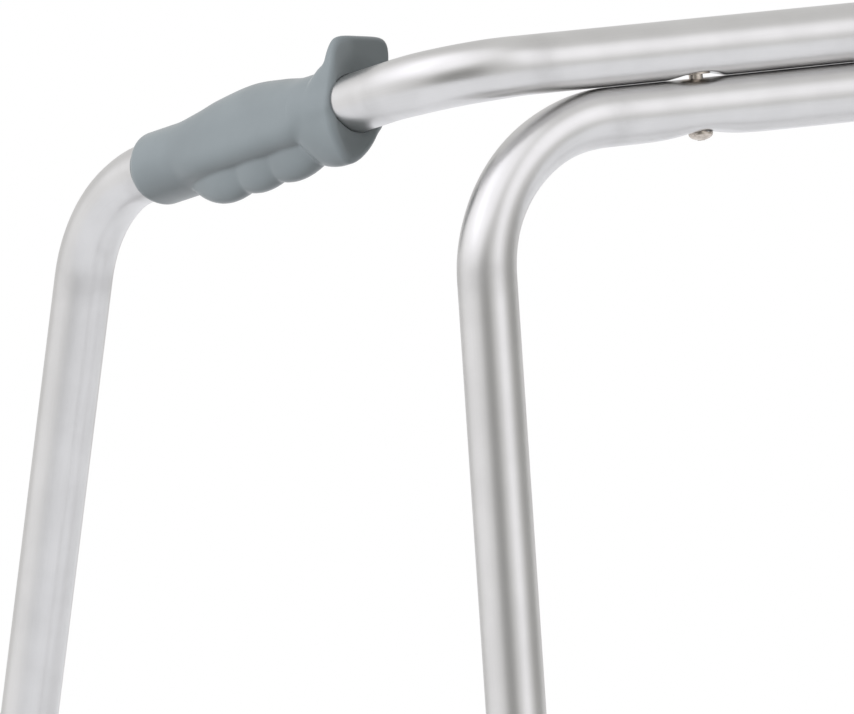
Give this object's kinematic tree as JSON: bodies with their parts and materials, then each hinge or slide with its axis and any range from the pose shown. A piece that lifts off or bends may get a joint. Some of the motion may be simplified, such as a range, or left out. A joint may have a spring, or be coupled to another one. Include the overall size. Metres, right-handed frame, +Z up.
{
  "type": "walking frame",
  "caption": "Fixed aluminium walking frame with a bent tube top rail, moulded hand grips, a front hoop, a lower brace and telescopic legs on rubber feet.",
  "frame": {"origin": "on the floor, at the middle of the footprint of the rubber feet", "axes": "+Z up; the front rails face -Y and the user stands at +Y; +X is the user's left"},
  "size_m": [0.6814, 0.5754, 0.8663],
  "materials": {
    "tube": "satin anodised",
    "extension_tube": "satin anodised",
    "grip": "satin moulded vinyl",
    "fastener": "bright zinc plated",
    "spring": "spring steel",
    "bush": "moulded",
    "saddle": "moulded",
    "ferrule": "matte"
  },
  "bodies": {
    "frame": {"top_rail": "tube", "front_hoop": "tube", "grip_right": "grip", "grip_left": "grip", "rail_screws": "fastener", "rail_rivet_nuts": "fastener", "lower_brace": "tube", "brace_saddles": "saddle", "brace_bolts": "fastener", "brace_nuts": "fastener", "brace_end_caps": "saddle", "leg_bush_front_right": "bush", "leg_bush_front_left": "bush", "leg_bush_rear_right": "bush", "leg_bush_rear_left": "bush"},
    "foot_front_right": {"leg_extension_front_right": "extension_tube", "ferrule_front_right": "ferrule", "ferrule_washer_front_right": "fastener", "clip_spring_front_right": "spring"},
    "button_front_right": {"snap_button_front_right": "fastener"},
    "foot_front_left": {"leg_extension_front_left": "extension_tube", "ferrule_front_left": "ferrule", "ferrule_washer_front_left": "fastener", "clip_spring_front_left": "spring"},
    "button_front_left": {"snap_button_front_left": "fastener"},
    "foot_rear_right": {"leg_extension_rear_right": "extension_tube", "ferrule_rear_right": "ferrule", "ferrule_washer_rear_right": "fastener", "clip_spring_rear_right": "spring"},
    "button_rear_right": {"snap_button_rear_right": "fastener"},
    "foot_rear_left": {"leg_extension_rear_left": "extension_tube", "ferrule_rear_left": "ferrule", "ferrule_washer_rear_left": "fastener", "clip_spring_rear_left": "spring"},
    "button_rear_left": {"snap_button_rear_left": "fastener"}
  },
  "joints": [
    {"name": "height_front_right", "type": "slide", "parent": "frame", "child": "foot_front_right", "axis": [-0.078, -0.1042, -0.9915], "range_m": [-0.04, 0.08]},
    {"name": "press_front_right", "type": "slide", "parent": "foot_front_right", "child": "button_front_right", "axis": [0.997, -0.0082, -0.0776], "range_m": [0, 0.0045], "stiffness_N_per_m": 3000, "springref_m": -0.002},
    {"name": "height_front_left", "type": "slide", "parent": "frame", "child": "foot_front_left", "axis": [0.078, -0.1042, -0.9915], "range_m": [-0.04, 0.08]},
    {"name": "press_front_left", "type": "slide", "parent": "foot_front_left", "child": "button_front_left", "axis": [-0.997, -0.0082, -0.0776], "range_m": [0, 0.0045], "stiffness_N_per_m": 3000, "springref_m": -0.002},
    {"name": "height_rear_right", "type": "slide", "parent": "frame", "child": "foot_rear_right", "axis": [-0.101, 0.2575, -0.961], "range_m": [-0.04, 0.08]},
    {"name": "press_rear_right", "type": "slide", "parent": "foot_rear_right", "child": "button_rear_right", "axis": [0.9949, 0.0261, -0.0976], "range_m": [0, 0.0045], "stiffness_N_per_m": 3000, "springref_m": -0.002},
    {"name": "height_rear_left", "type": "slide", "parent": "frame", "child": "foot_rear_left", "axis": [0.101, 0.2575, -0.961], "range_m": [-0.04, 0.08]},
    {"name": "press_rear_left", "type": "slide", "parent": "foot_rear_left", "child": "button_rear_left", "axis": [-0.9949, 0.0261, -0.0976], "range_m": [0, 0.0045], "stiffness_N_per_m": 3000, "springref_m": -0.002}
  ]
}
